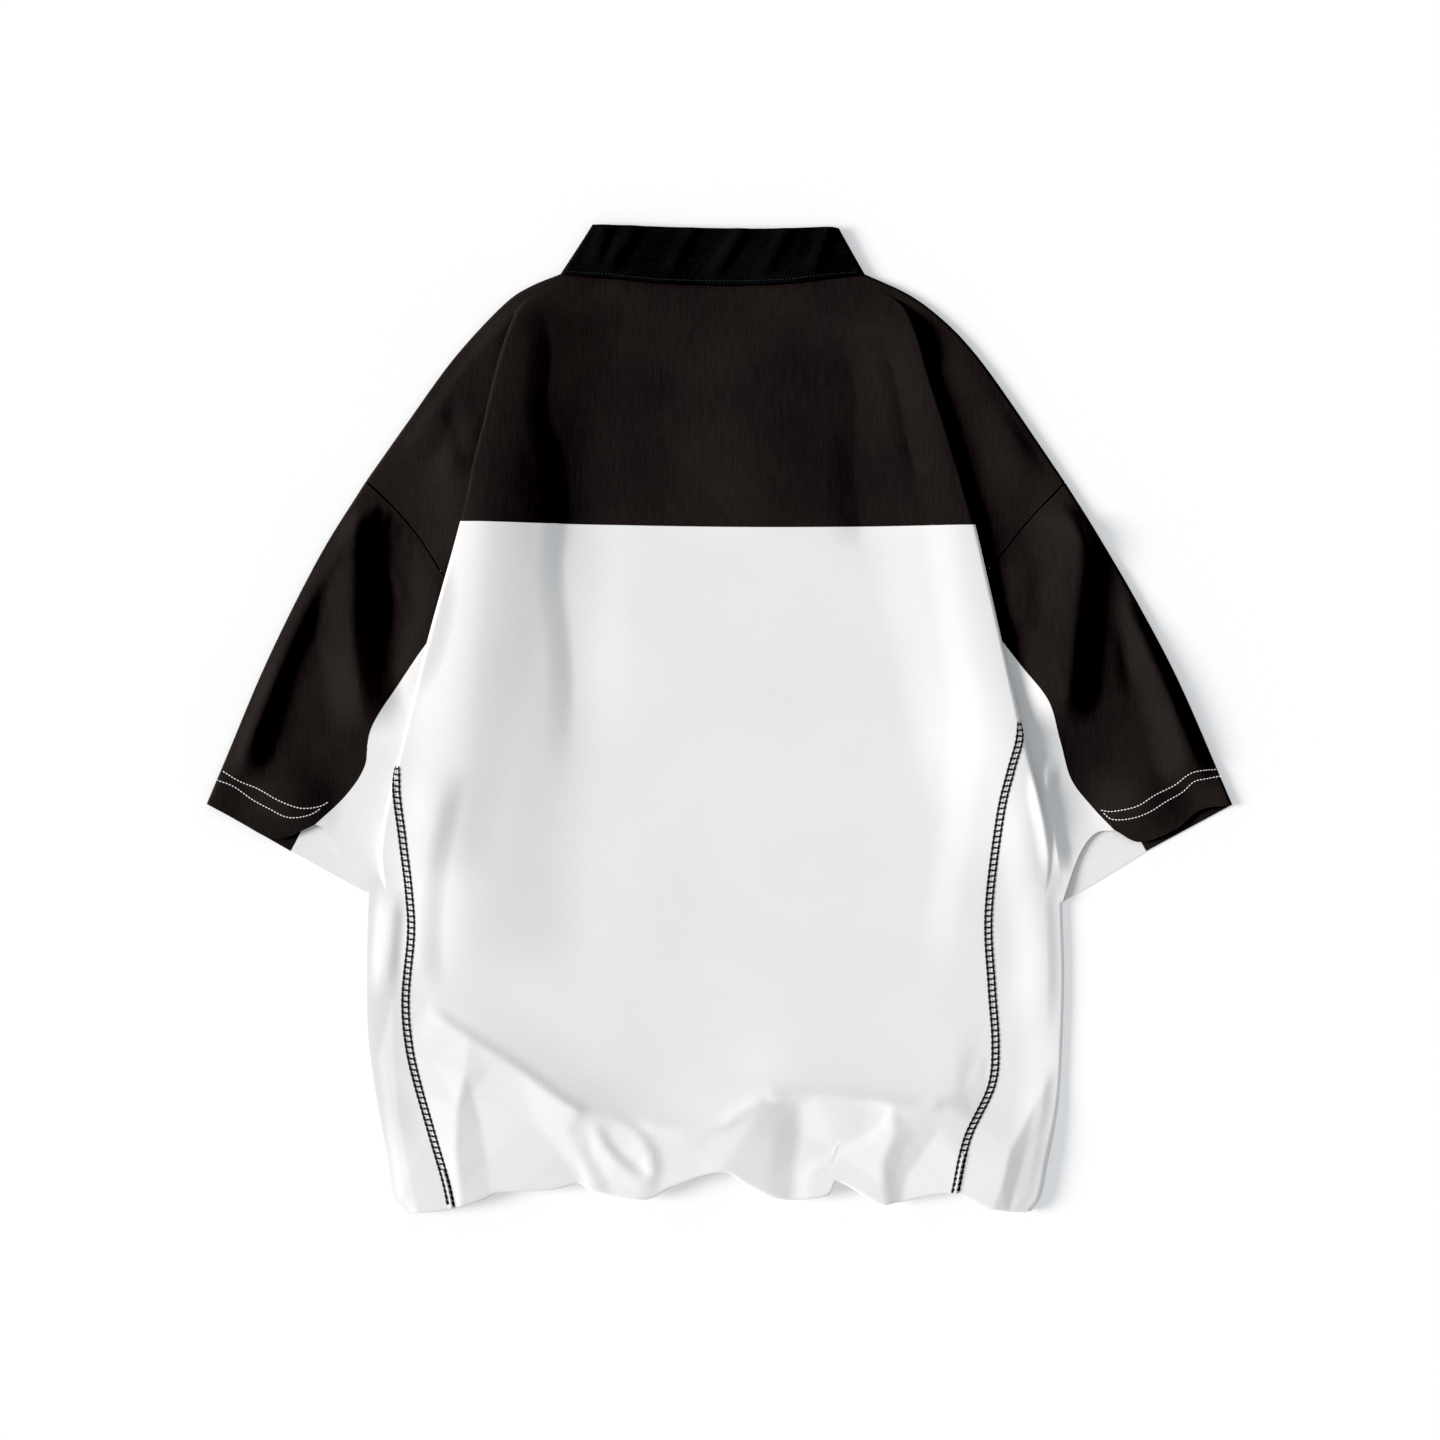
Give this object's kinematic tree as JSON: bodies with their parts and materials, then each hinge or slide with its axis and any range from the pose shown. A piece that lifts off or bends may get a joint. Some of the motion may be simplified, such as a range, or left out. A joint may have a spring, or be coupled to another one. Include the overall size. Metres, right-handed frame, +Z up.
{
  "type": "t-shirt",
  "caption": "Oversized drop-shoulder t-shirt with a stand collar, laid flat on its front, black yoke and sleeves over a white body with a gathered hem.",
  "frame": {"origin": "on the table, under the middle of the outline", "axes": "+Z up from the table, out of the shirt's back; +Y towards the collar; +X to the right as seen from above"},
  "size_m": [0.7685, 0.7393, 0.0233],
  "materials": {
    "collar_cloth": "matt jersey, black",
    "back_yoke_cloth": "matt jersey, black",
    "back_panel_cloth": "matt jersey, white",
    "front_yoke_cloth": "matt jersey, black",
    "front_panel_cloth": "matt jersey, white",
    "sleeve_left_cloth": "matt jersey, black",
    "side_left_cloth": "matt jersey, white",
    "sleeve_right_cloth": "matt jersey, black",
    "side_right_cloth": "matt jersey, white"
  },
  "bodies": {
    "root": {"collar": "collar_cloth", "back_yoke": "back_yoke_cloth", "back_panel": "back_panel_cloth", "front_yoke": "front_yoke_cloth", "front_panel": "front_panel_cloth", "sleeve_left": "sleeve_left_cloth", "side_left": "side_left_cloth", "sleeve_right": "sleeve_right_cloth", "side_right": "side_right_cloth"}
  },
  "joints": []
}
